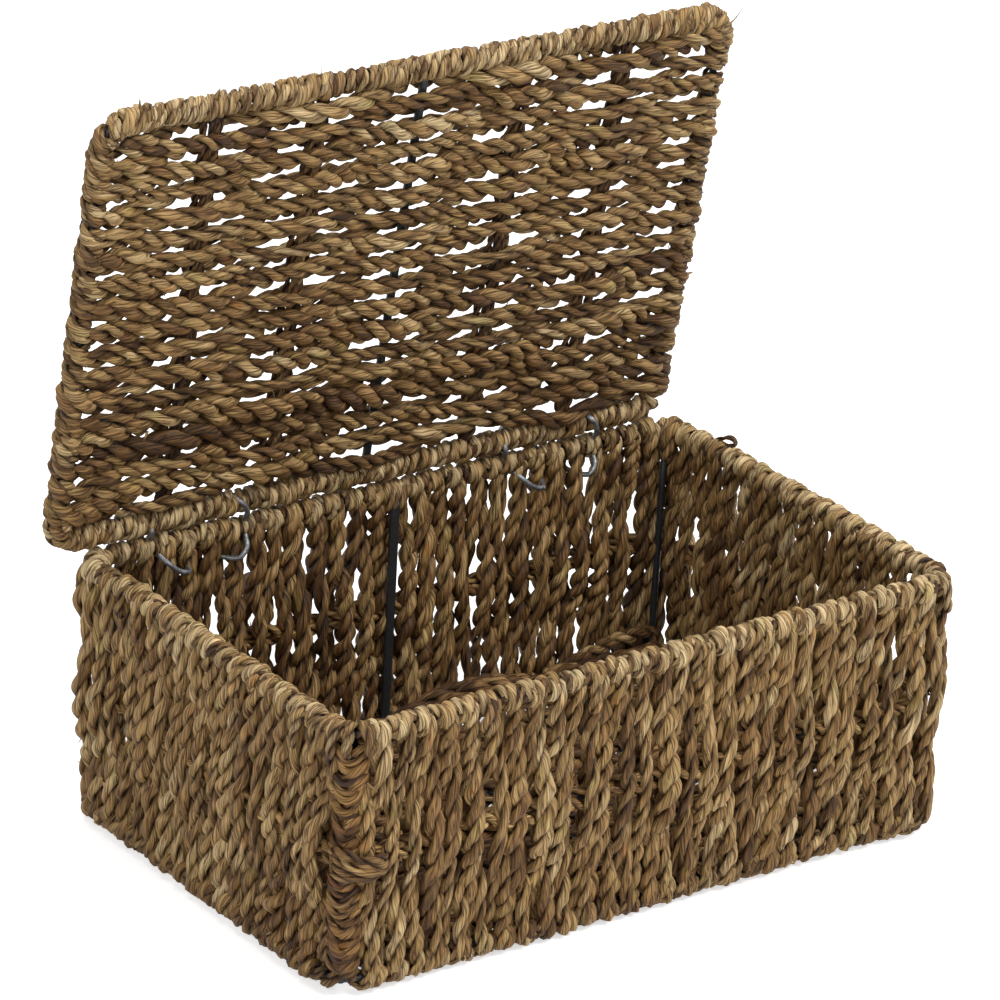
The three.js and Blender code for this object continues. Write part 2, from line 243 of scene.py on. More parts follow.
class Strands:
    """Collects closed strands and makes one mesh of them"""

    def __init__(self):
        self.points, self.quads, self.tips = [], [], []
        self.fibre, self.tone, self.depth = [], [], []
        self.quad_place, self.tip_place = [], []
        self.count, self.run = 0, 0.0

    def add(self, rings, fibre, tone, distance, depth=1.0):
        """Rings of points along one strand, with the fibre's place, tone and depth at each point"""
        stations, sides = rings.shape[:2]
        index = self.count + np.arange(stations * sides).reshape(stations, sides)
        following = np.roll(index, -1, axis=1)
        quads = np.stack([index[:-1], following[:-1], following[1:], index[1:]], -1)
        self.quads.append(quads.reshape(-1, 4))
        tip = self.count + stations * sides
        self.tips.append(side_by_side(tip, following[0], index[0]))
        self.tips.append(side_by_side(tip + 1, index[-1], following[-1]))
        self.points += [rings.reshape(-1, 3), rings[0].mean(0)[None], rings[-1].mean(0)[None]]
        self.fibre += [fibre.reshape(-1, 3), fibre[0, :1], fibre[-1, :1]]
        tone = np.broadcast_to(tone, stations)
        self.tone += [np.repeat(tone, sides), tone[:1], tone[-1:]]
        self.depth += [np.broadcast_to(depth, rings.shape[:2]).ravel(), np.zeros(2)]
        run = self.run + distance
        side = np.arange(sides)
        share = np.stack([side, side + 1, side + 1, side], -1) / sides
        place = np.stack([run[:-1], run[:-1], run[1:], run[1:]], -1)[:, None]
        self.quad_place.append(side_by_side(share, place).reshape(-1, 4, 2))
        for one, other, end, past in (
            (side + 1, side, run[0], run[0] - ROPE_STEP),
            (side, side + 1, run[-1], run[-1] + ROPE_STEP),
        ):
            share = np.stack([side + 0.5, one, other], -1) / sides
            self.tip_place.append(side_by_side(share, np.array([past, end, end])))
        self.count += stations * sides + 2
        self.run = run[-1] + 4 * ROPE_STEP

    def piece(self, name, look, body, nodes=(), girth=14.0):
        """Makes one mesh with the look's material, which rides on a body and stands for nodes; the look's
        slot name is not used
        """
        points, quads, tips = (np.vstack(rows) for rows in (self.points, self.quads, self.tips))
        material, slot = look
        mesh = bpy.data.meshes.new(name)
        mesh.vertices.add(len(points))
        mesh.vertices.foreach_set("co", (points * MM).astype(np.float32).ravel())
        corners = np.concatenate([quads.ravel(), tips.ravel()])
        mesh.loops.add(len(corners))
        mesh.loops.foreach_set("vertex_index", corners.astype(np.int32))
        mesh.polygons.add(len(quads) + len(tips))
        starts = np.concatenate([4 * np.arange(len(quads)), 4 * len(quads) + 3 * np.arange(len(tips))])
        mesh.polygons.foreach_set("loop_start", starts.astype(np.int32))
        mesh.update(calc_edges=True)
        mesh.shade_smooth()
        for attribute, kind, key, values in (
            ("fibre", "FLOAT_VECTOR", "vector", np.vstack(self.fibre)),
            ("tone", "FLOAT", "value", np.concatenate(self.tone)),
            ("depth", "FLOAT", "value", np.concatenate(self.depth)),
        ):
            data = mesh.attributes.new(attribute, kind, "POINT").data
            data.foreach_set(key, values.astype(np.float32).ravel())
        self.lay_out(mesh, girth)
        mesh.materials.append(material)
        piece = new_object(name, mesh)
        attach(piece, body)
        if nodes:
            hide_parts(*nodes)

    def lay_out(self, mesh, girth):
        """Lays the strands side by side on a square map, folded into columns"""
        columns = max(1, math.ceil(math.sqrt((self.run + ROPE_STEP) / girth)))
        height = (self.run + 2 * ROPE_STEP) / columns
        places = []
        for corner in (np.concatenate(self.quad_place), np.concatenate(self.tip_place)):
            place = corner[..., 1] + ROPE_STEP
            column = np.floor(place.min(1, keepdims=True) / height)
            u = (column + 0.04 + 0.92 * corner[..., 0]) / columns
            v = (place - column * height) / (height + 2 * ROPE_STEP)
            places.append(np.stack([u, v], -1).reshape(-1, 2))
        layer = mesh.uv_layers.new(name="OFBake")
        layer.uv.foreach_set("vector", np.vstack(places).astype(np.float32).ravel())


def add_rope(strands, rng, path, distance, reference, turn, tone, owner=None,
             flat=1.0, narrow=1.0, size=1.0, sides=ROPE_SIDES, lumps=0.13, tone_spread=0.19):
    """Twists plies round a path. Flat and narrow are shares of its size along and across the reference.

    With owners, strands is a list, and owner says for each station which of these takes it.
    """
    if owner is None:
        strands, owner = [strands], np.zeros(len(distance))
    out, across = cross_frame(path, reference)
    flat, narrow = (np.broadcast_to(share, distance.shape)[:, None, None] for share in (flat, narrow))
    pace = np.clip(1 + smooth_wander(rng, distance, 24, 0.22), 0.55, 1.7)
    angle = TURN * (rng.random() + np.cumsum(np.diff(distance, prepend=0) * pace / turn))
    from_end = np.minimum(distance, distance[-1] - distance) / (4 * ROPE_STEP)
    size = size * (1 + smooth_wander(rng, distance, 45, lumps)) * np.sqrt(np.clip(from_end, 0.02, 1))
    own = TURN * np.arange(sides) / sides
    for ply in range(PLIES):
        turned = (angle + TURN * ply / PLIES)[:, None]
        around = own - FIBRE_TWIST * turned
        swell = size * (1 + smooth_wander(rng, distance, 7, lumps))
        ridge = np.ones((len(distance), sides))
        for waves, amount in RIDGES:
            drift = rng.uniform(0, TURN) + smooth_wander(rng, distance, 10, 1.1)
            ridge += amount * np.cos(waves * own + drift[:, None])
        swollen = swell[:, None] * ridge
        slack = size * (1 + smooth_wander(rng, distance, 11, 0.10))
        reach = PLY_REACH * slack[:, None] + PLY_DEPTH * swollen * np.cos(around)
        sideways = PLY_WIDTH * swollen * np.sin(around)
        out_part = np.cos(turned) * reach - np.sin(turned) * sideways
        across_part = np.sin(turned) * reach + np.cos(turned) * sideways
        rings = path[:, None] + flat * out_part[..., None] * out[:, None]
        rings = rings + narrow * across_part[..., None] * across[:, None]
        # How far out from the rope's middle each point lies; the material paints shade where this is small,
        # deep in the grooves
        depth = np.hypot(out_part, across_part) / (PLY_REACH + PLY_DEPTH)
        shift = rng.uniform(0, 1000)
        fibre = side_by_side(2.2 * np.cos(own), 2.2 * np.sin(own), distance[:, None] + shift)
        ply_tone = tone + rng.normal(0, tone_spread * 0.6) + smooth_wander(rng, distance, 45, tone_spread)
        ply_tone = ply_tone + smooth_wander(rng, distance, 9, 0.06)
        for number, part in enumerate(strands):
            first, last = np.flatnonzero(owner == number)[[0, -1]]
            span = slice(first, min(last + 2, len(owner)))
            run = distance[span] - distance[first]
            part.add(rings[span], fibre[span], ply_tone[span], run, depth[span])


def lay_rope(strands, rng, points, reference, step, turn, tone, place=None, limits=None, **shape):
    """A rope through points, with a reference for each or for all. Limits share it out by place."""
    table = [points, np.broadcast_to(reference, points.shape)]
    if limits is not None:
        table.append(place[:, None])
    rows, distance = spline(np.hstack(table), step)
    owner = None if limits is None else np.searchsorted(limits, rows[:, 6], side="right")
    add_rope(strands, rng, rows[:, :3], distance, rows[:, 3:6], turn, tone, owner=owner, **shape)


def coil(rng, start, end, pitch, reach, manner):
    """A strand wound round a wire: places along it, distances from its middle, and angles round it"""
    slant, slant_change, slant_spacing, lean, spacing, wander, lift = manner
    turns = (end - start) / pitch
    angle = np.linspace(0, turns, int(turns * 11)) * TURN
    even = (end - start) * angle / angle[-1]
    slant = slant + smooth_wander(rng, even, slant_spacing, slant_change)
    along = start + even + slant * np.sin(angle + lean) + smooth_wander(rng, even, spacing, wander)
    return along, reach + smooth_wander(rng, angle, 3, lift), angle


def tube(path, radius, reference, sides=16, squash=(1.0, 1.0), corner=1.0):
    """Rings of points round a path: a wire, or a bar where squash gives two half widths"""
    out, across = cross_frame(path, reference)
    psi = TURN * np.arange(sides) / sides
    cos, sin = np.cos(psi)[None, :, None], np.sin(psi)[None, :, None]
    round_out = np.sign(cos) * np.abs(cos) ** corner * squash[0] * radius
    round_across = np.sign(sin) * np.abs(sin) ** corner * squash[1] * radius
    return path[:, None] + round_out * out[:, None] + round_across * across[:, None]


# Materials

def find_node(tree, kind):
    return next(node for node in tree.nodes if node.type == kind)


def new_material(name):
    material = bpy.data.materials.new(name)
    material.use_nodes = True
    tree = material.node_tree
    return material, tree, find_node(tree, "BSDF_PRINCIPLED")


def feed(tree, node, values):
    """Gives inputs of a node a link, a number, or a colour or vector"""
    for name, value in values.items():
        socket = node.inputs[name]
        if isinstance(value, tuple):
            socket.default_value = (*value, 1) if socket.type == "RGBA" else value
        elif isinstance(value, (int, float)):
            socket.default_value = value
        else:
            tree.links.new(value, socket)


def add_node(tree, kind, output, values):
    node = tree.nodes.new(kind)
    feed(tree, node, values)
    return node.outputs[output]


def math_node(tree, operation, *values):
    node = tree.nodes.new("ShaderNodeMath")
    node.operation = operation
    feed(tree, node, dict(enumerate(values)))
    return node.outputs[0]


def attribute_node(tree, name, output):
    node = tree.nodes.new("ShaderNodeAttribute")
    node.attribute_name = name
    return node.outputs[output]


def fibre_noise(tree, scale, detail, stretch=(1.0, 1.0, 1.0), roughness=0.55):
    """Noise in the place along and round a strand's own fibres"""
    fibre = attribute_node(tree, "fibre", "Vector")
    mapped = add_node(tree, "ShaderNodeMapping", "Vector", {"Vector": fibre, "Scale": stretch})
    values = {"Vector": mapped, "Scale": scale, "Detail": detail, "Roughness": roughness}
    return add_node(tree, "ShaderNodeTexNoise", "Fac", values)


def ramp_node(tree, factor, stops):
    ramp = tree.nodes.new("ShaderNodeValToRGB")
    elements = ramp.color_ramp.elements
    while len(elements) < len(stops):
        elements.new(0.5)
    for element, (place, colour) in zip(elements, stops):
        element.position = place
        element.color = (*colour, 1)
    tree.links.new(factor, ramp.inputs["Fac"])
    return ramp.outputs["Color"]


def mix_node(tree, factor, a, b, blend="MIX"):
    node = tree.nodes.new("ShaderNodeMix")
    node.data_type = "RGBA"
    node.blend_type = blend
    feed(tree, node, {"Factor": factor, "A": a, "B": b})
    return node.outputs["Result"]


def map_range(tree, value, low, high, to_low=0.0, to_high=1.0):
    values = {"Value": value, "From Min": low, "From Max": high, "To Min": to_low, "To Max": to_high}
    return add_node(tree, "ShaderNodeMapRange", "Result", values)


def bump_node(tree, height, strength, distance):
    values = {"Height": height, "Strength": strength, "Distance": distance * MM}
    return add_node(tree, "ShaderNodeBump", "Normal", values)


WHITE = (1.0, 1.0, 1.0)


def seagrass(name, palette, groove_shade, red_share):
    """Dried seagrass: colour varies by strand and along it, with fine fibres, dark crease lines that are
    partly the leaves' own fibres and partly painted shade in their folds, and painted shade deep in the
    grooves between plies
    """
    material, tree, shader = new_material(name)
    streaks = fibre_noise(tree, 1.1, 3, (1.0, 1.0, 0.08), 0.6)
    fine = fibre_noise(tree, 2.1, 2, (1.0, 1.0, 0.05))
    creases = fibre_noise(tree, 0.9, 1, (1.0, 1.0, 0.06))
    patches = fibre_noise(tree, 0.35, 2, (0.5, 0.5, 0.25))
    tinted = fibre_noise(tree, 0.22, 1, (0.4, 0.4, 0.3))
    mixed = math_node(tree, "MULTIPLY_ADD", streaks, 0.95, attribute_node(tree, "tone", "Fac"))
    mixed = math_node(tree, "MULTIPLY_ADD", patches, 0.6, mixed)
    colour = ramp_node(tree, math_node(tree, "SUBTRACT", mixed, 0.775), palette)
    # Thin dark crease lines along the fibres: the leaves' own dark fibres, and painted shade in their folds
    line = math_node(tree, "ABSOLUTE", math_node(tree, "SUBTRACT", creases, 0.5))
    line = map_range(tree, line, 0.0, 0.055)
    # Painted shade: colour darkens towards the groove shade colour where the rope's points lie nearest its
    # middle, deep in the grooves between plies
    lit = map_range(tree, attribute_node(tree, "depth", "Fac"), 0.25, 0.85)
    for share, tint in (
        (map_range(tree, tinted, 1 - red_share, 1.14 - red_share), (1.14, 0.86, 0.64)),
        (map_range(tree, tinted, red_share + 0.08, red_share - 0.06), (0.92, 1.02, 0.86)),
        (1.0, map_range(tree, fine, 0.3, 0.7, 0.58, 1.32)),
        (1.0, mix_node(tree, line, (0.28, 0.19, 0.12), WHITE)),
        (1.0, mix_node(tree, lit, groove_shade, WHITE)),
    ):
        colour = mix_node(tree, share, colour, tint, "MULTIPLY")
    height = math_node(tree, "MULTIPLY_ADD", fine, 0.4, streaks)
    height = math_node(tree, "MULTIPLY_ADD", line, 0.9, height)
    feed(tree, shader, {
        "Base Color": colour,
        "Roughness": map_range(tree, streaks, 0.2, 0.8, 0.72, 0.52),
        "Specular IOR Level": 0.35,
        "Normal": bump_node(tree, height, 0.9, 0.6),
    })
    return material


def steel(name, dark, light, roughness, metallic):
    """Drawn or galvanised steel with faint mottling"""
    material, tree, shader = new_material(name)
    mottle = fibre_noise(tree, 0.35, 3, roughness=0.65)
    grain = fibre_noise(tree, 1.6, 2)
    blend = math_node(tree, "MULTIPLY", math_node(tree, "ADD", mottle, grain), 0.5)
    feed(tree, shader, {
        "Base Color": ramp_node(tree, blend, ((0.35, dark), (0.65, light))),
        "Roughness": map_range(tree, mottle, 0.3, 0.7, roughness + 0.08, roughness - 0.08),
        "Metallic": metallic,
        "Normal": bump_node(tree, grain, 0.35, 0.25),
    })
    return material


STRAW = (
    (0.00, (0.085, 0.037, 0.009)),
    (0.25, (0.220, 0.114, 0.036)),
    (0.50, (0.370, 0.222, 0.080)),
    (0.72, (0.495, 0.326, 0.139)),
    (1.00, (0.650, 0.483, 0.258)),
)
GOLDEN = (
    (0.00, (0.085, 0.032, 0.007)),
    (0.30, (0.205, 0.096, 0.024)),
    (0.60, (0.390, 0.210, 0.064)),
    (1.00, (0.630, 0.410, 0.165)),
)
# Each look is a material and the name of its slot. The dark colour given to each seagrass is the painted
# shade deep in its grooves.
ROPE = seagrass("seagrass_rope", STRAW, (0.15, 0.085, 0.045), 0.34), "seagrass_rope"
BINDING = seagrass("seagrass_binding", STRAW, (0.22, 0.14, 0.08), 0.30), "seagrass_binding"
WRAP = seagrass("golden_strand", GOLDEN, (0.12, 0.07, 0.035), 0.36), "seagrass_wrap"
FRAME = steel("dark_steel", (0.018, 0.019, 0.021), (0.045, 0.047, 0.050), 0.48, 0.55), "frame_steel"
RING = steel("galvanised_wire", (0.045, 0.047, 0.05), (0.36, 0.37, 0.38), 0.48, 0.75), "ring_steel"


def steel_piece(name, points, radius, reference, girth, body="basket", look=FRAME, step=3.0, **shape):
    """A smooth wire or bar with plain ends, which stands for the node of its name"""
    rows, distance = spline(points, step)
    rings = tube(rows, radius, np.broadcast_to(reference, rows.shape), **shape)
    strands = Strands()
    strands.add(rings, rings, 0.5, distance)
    strands.piece("smooth_" + name, look, body, [name], girth=girth)


# Weaving

class Sheet:
    """A flat weave. Its rows run between two edge wires, and its rods lie evenly between these.

    place(across, along, depth) gives points, the direction of depth there, and that of the rows.
    Near the edges the rows swing by only a share of their depth.
    """

    def __init__(self, low_edge, high_edge, rods, place, loop_radii, depth, edge_share):
        self.edges, self.rods, self.place = (low_edge, high_edge), rods, place
        self.loop_radii, self.depth, self.edge_share = loop_radii, depth, edge_share

    def row(self, rng, across, number, wobble):
        """Places along one row, from the low edge to the high one: across, along, depth, and facing sign"""
        low, high = self.edges
        gap = (high - low) / (self.rods + 1)
        margin = 6.5
        along = np.linspace(low + margin, high - margin, max(int((high - low) / 7), 8))
        run = along - along[0]
        from_edge = np.minimum(along - low, high - along)
        phase = np.arcsin(0.94 * np.cos(math.pi * (along - low) / gap)) / math.asin(0.94)
        phase = phase * (self.edge_share + (1 - self.edge_share) * np.clip(from_edge / (0.6 * gap), 0, 1))
        sign = -1 if number % 2 == 0 else 1
        swing = self.depth * (1 + rng.normal(0, DEPTH_SPREAD))
        depth = sign * swing * phase + smooth_wander(rng, run, 22, 0.35)
        sideways = smooth_wander(rng, run, 24, wobble) + rng.normal(0, wobble * 0.5)
        sideways = sideways + smooth_wander(rng, run, 9, wobble * 0.4)
        return across + sideways * np.clip(from_edge / 18, 0.35, 1), along, depth, sign

    def loop(self, rng, edge, sign, start, end, turns):
        """Places round the low edge wire, 0, or the high one, 1, from one row's line to the next"""
        side = 2 * edge - 1
        radius = self.loop_radii[edge]
        angle = np.linspace(0.04, turns - 0.04, int(12 * turns)) * TURN
        share = angle / TURN / turns
        share = share + 0.06 * np.sin(TURN * share)
        reach = radius * (1 + smooth_wander(rng, angle * radius, 7, 0.11))
        across = start + (end - start) * share + rng.normal(0, 0.35) * np.sin(math.pi * share)
        along = self.edges[edge] + side * reach * np.sin(angle)
        return across, along, sign * reach * np.cos(angle), side * angle


def weave(strands, rng, sheet, rows, turn, tone, turns=1.5, wobble=0.8, edge_tones=(0.0, 0.0), size=1.0,
          lowest=-math.inf, sides=ROPE_SIDES, step=ROPE_STEP):
    """Lays one rope back and forth through a sheet, with loops round both edge wires

    Each row has a number, a place across, an owner, and how much it and the loop after it are lightened or
    darkened, mostly painted light and shade.
    """
    stations = []
    pitch = rows[1][1] - rows[0][1]
    for i, (number, across, owner, shade, painted_edge_shade) in enumerate(rows):
        line, along, depth, sign = sheet.row(rng, across, number, wobble)
        narrow = np.clip(np.hypot(pitch, 2 * depth) / (2 * ROPE_RADIUS), LEAST_NARROWING, 1)
        thick = np.clip(rng.normal(1, 0.09), 0.82, 1.22)
        flat = (1 - 0.16 * np.abs(depth) / sheet.depth) * thick
        lift = rng.normal(0, ROW_TONE_SPREAD) + shade
        cell = side_by_side(line, along, depth, 0, sign, flat, narrow * thick, lift, 1, owner)
        edge = 1 - number % 2
        stations.append(cell if edge else cell[::-1])
        if i + 1 < len(rows):
            start, end = stations[-1][-1, 0], rows[i + 1][1]
            line, along, depth, angle = sheet.loop(rng, edge, sign, start, end, turns)
            # Each edge's loops are lightened by edge_tones, plus the painted edge shade
            lift = lift + edge_tones[edge] + painted_edge_shade
            stations.append(side_by_side(line, along, depth, angle, sign, LOOP_FLATNESS, LOOP_NARROWING,
                                         lift, LOOP_TWIST, owner))
    stations = np.vstack(stations)
    points, facing, forward = sheet.place(*stations[:, :3].T)
    angle, sign = stations[:, 3:4], stations[:, 4:5]
    reference = sign * np.cos(angle) * facing + np.sin(angle) * forward
    dense, distance = spline(np.hstack([points, reference, stations[:, 5:]]), step)
    path = dense[:, :3]
    path[:, 2] = np.maximum(path[:, 2], lowest)
    flat, narrow, lift, twist, owner = dense[:, 6:].T
    add_rope(strands, rng, path, distance, dense[:, 3:6], turn / twist, tone + lift,
             owner=np.floor(owner + 0.5).astype(int), flat=flat, narrow=narrow, size=size, sides=sides)


def shared_rows(places, painted_shades, parts):
    """Rows for a weave, shared out evenly to a few owners, and the places where a new owner begins"""
    owners = np.arange(len(places)) * parts // len(places)
    rows = [(i, places[i], owners[i], painted_shades[i], 0.0) for i in range(len(places))]
    return rows, places[1:][np.diff(owners) > 0]


# Walls: rows stand upright and follow each other round the rim

# The place along the rim of the flat bar inside the back wall. The ropes give way to it.
BACK_BAR = rim.middle_of(5) - node_middle("bar_back_middle")[0] + rim.middle[0]
FRONT_RIGHT = rim.middle_of(2)
BACK_LEFT = rim.middle_of(6)


def wall_bulge(across, along):
    """How far the slack walls swell outwards at two of the corners"""
    low = np.clip((112 - along) / 24, 0.15, 1) * hump(across, FRONT_RIGHT, 24)
    high = np.clip(np.minimum(along / 18, (124 - along) / 16), 0.3, 1) * hump(across, BACK_LEFT, 28)
    return 4.0 * low + high * (3.3 + 1.8 * hump(along, 101, 13))


def wall_place(across, along, depth):
    """Points from places along the rim, heights and depths, with the directions out and up"""
    number, share = rim.locate(np.asarray(across))
    top, normal = rim.place(number, share)
    bottom, _ = base.place(number, share)
    down = ((RIM_Z - along) / (RIM_Z - BASE_Z))[:, None]
    beside_bar = hump(across, BACK_BAR, 6) * (along < RIM_Z - 8)
    out = depth + 3.2 * beside_bar + wall_bulge(across, along)
    flat = top * (1 - down) + bottom * down + normal * out[:, None]
    points = np.hstack([flat, along[:, None]])
    facing = np.hstack([normal, np.zeros((len(normal), 1))])
    return points, facing, np.broadcast_to(UP, points.shape)


def wind_edge(strands, rng, height, start, end, pitch, reach, size, tone, limits):
    """A thinner rope round the rim or base wire, which fills the room between the wall ropes' loops"""
    along, away, angle = coil(rng, start, end, pitch, reach, WALL_COIL)
    along = np.clip(along, start, end)
    points, facing, upward = wall_place(along, height + away * np.sin(angle), away * np.cos(angle))
    points[:, 2] = np.maximum(points[:, 2], ROPE_RADIUS * size * 1.4)
    radial = np.cos(angle)[:, None] * facing + np.sin(angle)[:, None] * upward
    lay_rope(strands, rng, points, radial, WINDING_STEP, 12, tone, along, limits,
             flat=0.75, size=size, sides=10, lumps=0.16, tone_spread=0.2)


def make_walls():
    """Ropes round the rim, shared out to one piece for each corner and two for each wall"""
    radii = (BASE_ROLL - LOOP_HALF_THICKNESS, RIM_BINDING - LOOP_HALF_THICKNESS)
    sheet = Sheet(BASE_Z, RIM_Z, 1, wall_place, radii, RAIL_DEPTH, 0.4)
    start, end = COLUMN_OPENING, rim.length - COLUMN_OPENING
    count = 2 * int((end - start) / ROPE_PITCH / 2)
    places = np.linspace(start + ROPE_PITCH / 2, end - ROPE_PITCH / 2, count)
    names = ("front", "corner_front_right", "right", "corner_back_right", "back", "corner_back_left", "left")
    pieces, limits = [], []
    for number, name in enumerate(names, 1):
        parts, widened = (1, -2.5) if name.startswith("corner") else (2, 2.5)
        low = rim.stops[number] - widened - COLUMN_ROOM * (name == "front")
        high = rim.stops[number + 1] + widened + COLUMN_ROOM * (name == "left")
        for part in range(parts):
            pieces.append((name, "_" + "ab"[part] if parts > 1 else ""))
            limits.append(low + (high - low) * (part + 1) / parts)
    # Painted shade: the back wall is darker, as its inside lies in shade, with its rim loops a little less
    # dark; the loops on the left rim are darker too
    painted_shades = {"back": (-0.15, 0.06), "left": (0.0, -0.14)}
    rows = []
    for number, (place, owner) in enumerate(zip(places, np.searchsorted(limits, places, side="right"))):
        shade, painted_edge_shade = painted_shades.get(pieces[owner][0], (0.0, 0.0))
        # Rows are also made lighter towards the front right corner
        rows.append((number, place, owner, shade + 0.2 * hump(place, FRONT_RIGHT, 26), painted_edge_shade))
    strands = [Strands() for _ in pieces]
    # The loops and the winding round the rim are painted lighter than those at the base: painted light from
    # above on the rim
    weave(strands, np.random.default_rng(11), sheet, rows, WALL_TURN, 0.41, wobble=1.1,
          edge_tones=(0.03, 0.37), size=1.05, lowest=3.5)
    wind_edge(strands, np.random.default_rng(13), RIM_Z, 1.5, rim.length - 1.5, 5.3, 3.5, 0.60, 0.66, limits)
    wind_edge(strands, np.random.default_rng(17), BASE_Z, 2.5, rim.length - 1, 6.3, 3.7, 0.66, 0.44, limits)
    for (name, letter), part in zip(pieces, strands):
        if name.startswith("corner"):
            part.piece(name + "_ropes", ROPE, "basket", [name.replace("corner", "corner_rope")])
        else:
            nodes = [stem + name for stem in ("wall_", "rim_binding_", "base_roll_")]
            part.piece(name + "_wall_ropes" + letter, ROPE, "basket", nodes)


def make_rails():
    """Golden strands laid along each rail and round its wire"""
    rng = np.random.default_rng(23)
    for side in ("front", "right", "back", "left"):
        name = "rail_" + side
        low, high = node_box(name)
        lengthwise = 0 if side in ("front", "back") else 1
        reach = np.arange(low[lengthwise] - 6, high[lengthwise] + 4, 7.0)
        strands = Strands()
        for start in (0.0, 1 / 3, 2 / 3):
            angle = TURN * (start + (reach - reach[0]) / 90)
            points = straight(name, lengthwise, count=len(reach))
            points[:, lengthwise] = reach
            points[:, 1 - lengthwise] += 2.0 * np.cos(angle) + rng.normal(0, 0.3, len(reach))
            points[:, 2] += 3.0 * np.sin(angle) + rng.normal(0, 0.5, len(reach))
            lay_rope(strands, rng, points, UP, 1.5, 15, 0.68, size=0.74, sides=10)
        strands.piece(side + "_rail_strands", WRAP, "basket", girth=8)
        steel_piece(name, straight(name, lengthwise), wire_radius(name), UP, 8)


def make_wires():
    """Rim and base wires, posts, bars and struts as smooth steel"""
    for name, ring in (("rim_wire", rim), ("base_wire", base)):
        points = np.insert(ring.outline(), 2, node_middle(name)[2], axis=1)
        steel_piece(name, points, wire_radius(name), UP, 10)
    for corner in ("front_left", "front_right", "back_right", "back_left"):
        name = "post_" + corner
        points = straight(name, 2, 3, 12)
        points[:, 2] = np.linspace(points[0, 2], RIM_Z - 1.5, 12)
        if corner != "front_left":
            bent = 3.4 * np.clip((points[:, 2] - RIM_Z + 18) / 16, 0, 1)
            points[:, :2] += bent[:, None] * np.sign(points[0, :2] - rim.middle)
        steel_piece(name, points, wire_radius(name, 0), RIGHT, 10)
    for name in ("bar_front_middle", "bar_back_middle"):
        widths = (1.15 * wire_radius(name, 0), 1.15 * wire_radius(name, 1))
        steel_piece(name, straight(name, 2, 3), 1.0, RIGHT, 12, squash=widths, corner=0.6)
    for name in ("floor_strut_left", "floor_strut_middle", "floor_strut_right"):
        steel_piece(name, straight(name, 1), wire_radius(name), UP, 8)


def make_corner_column():
    """Golden strands wound round the front left post, and a band of them on to the front rail"""
    name = "corner_wrap_front_left"
    outward = unit((-1.0, -1.0, 0.0))
    beside = unit((1.0, -1.0, 0.0))
    rng = np.random.default_rng(31)
    strands = Strands()
    bottom, top = node_box(name)[0][2] + 1.5, RIM_Z - 3.5
    pitch = 4.3
    turns = (top - bottom) / pitch
    angle = np.linspace(0, turns, int(turns * 12)) * TURN
    lean = 1.0 + smooth_wander(rng, angle, 14, 1.0)
    notch = np.clip(np.cos(angle), 0, 1) * (1.5 - np.abs(np.sin(angle)))
    height = bottom + angle / TURN * pitch - 3.6 * notch + lean * np.sin(angle)
    radius = 4.6 + smooth_wander(rng, angle, 2.4, 0.45)
    radial = np.cos(angle)[:, None] * outward + np.sin(angle)[:, None] * beside
    points = node_middle(name) + radius[:, None] * radial
    points = points + (0.22 * radius * np.sin(angle))[:, None] * beside
    points[:, 2] = np.maximum(height + smooth_wander(rng, angle, 2.0, 0.5), 3)
    lay_rope(strands, rng, points, radial, 1.1, 19, 0.42, flat=0.62, size=0.80, sides=10, lumps=0.2,
             tone_spread=0.15)
    rail = node_middle("rail_front")[2]
    across = np.array([-4.5, -2.0, 1.5, 5.0, 8.5, 12.0, 15.5, 20.0, 26.0])
    depth = np.array([4.0, 6.2, 8.4, 9.8, 10.0, 7.4, 3.0, 0.5, 0.0])
    closing = np.clip((across + 3) / 12, 0, 1)
    for spread, meet in ((5.4, 2.9), (1.8, 0.4), (-2.0, -1.6), (-5.6, -3.6)):
        height = rail + spread * (1 - closing) + meet * closing + rng.normal(0, 0.4, len(across))
        points, facing, _ = wall_place(across % rim.length, height, depth)
        lay_rope(strands, rng, points, facing, 1.2, 19, 0.52, flat=0.7, size=0.62, sides=10)
    strands.piece("front_left_column_winding", WRAP, "basket", [name], girth=9)


def add_hook(strands, rng, place, out_drop, in_drop):
    """A loop of thin rope over the rim, which hangs down outside and inside by given lengths"""
    across = (place + rng.normal(0, 0.3) + np.linspace(0, rng.normal(0, 1.2), 8)) % rim.length
    height = RIM_Z + np.array([
        -in_drop, -0.5 * in_drop, 1.0, 4.0, 1.0, -0.5 * out_drop, -out_drop, -out_drop - 1.0,
    ])
    depth = np.array([-6.6, -6.0, -4.8, 0.0, 4.8, 5.8, 6.0, 3.5])
    points, facing, _ = wall_place(across, height, depth)
    sloping = np.array([-1, -1, -0.9, 0, 0.9, 1, 1, 1])[:, None] * facing
    sloping[:, 2] = (0, 0, 0.4, 1, 0.4, 0, 0, 0)
    lay_rope(strands, rng, points, sloping, 1.1, 14, 0.58, flat=0.72, size=0.76, sides=10)


# Places of hooks along the rim from the front left corner
COLUMN_HOOKS = (-7.6, -4.6, -1.6, 1.4, 4.4, 7.2)
OTHER_HOOKS = (24, 61, 64, 118, 171, 204, 262, 305, 360, 412, 455, -28, -73, -121, -160)


def make_rim_hooks():
    """Loops over the rim at the column, the back bar and the back right post, and a few between"""
    rng = np.random.default_rng(37)
    strands = Strands()
    for place in COLUMN_HOOKS:
        add_hook(strands, rng, place, rng.uniform(5, 9.5), 8)
    for place in (BACK_BAR - 4.0, BACK_BAR - 0.4, BACK_BAR + 3.2):
        add_hook(strands, rng, place, 8, rng.uniform(8.5, 11))
    for place in (rim.length / 2 - 2.0, rim.length / 2 + 1.6):
        add_hook(strands, rng, place, 8, rng.uniform(10, 15))
    for place in OTHER_HOOKS:
        add_hook(strands, rng, place, rng.uniform(8, 14), rng.uniform(5, 9))
    strands.piece("rim_hooks", ROPE, "basket", girth=9)


# Floor

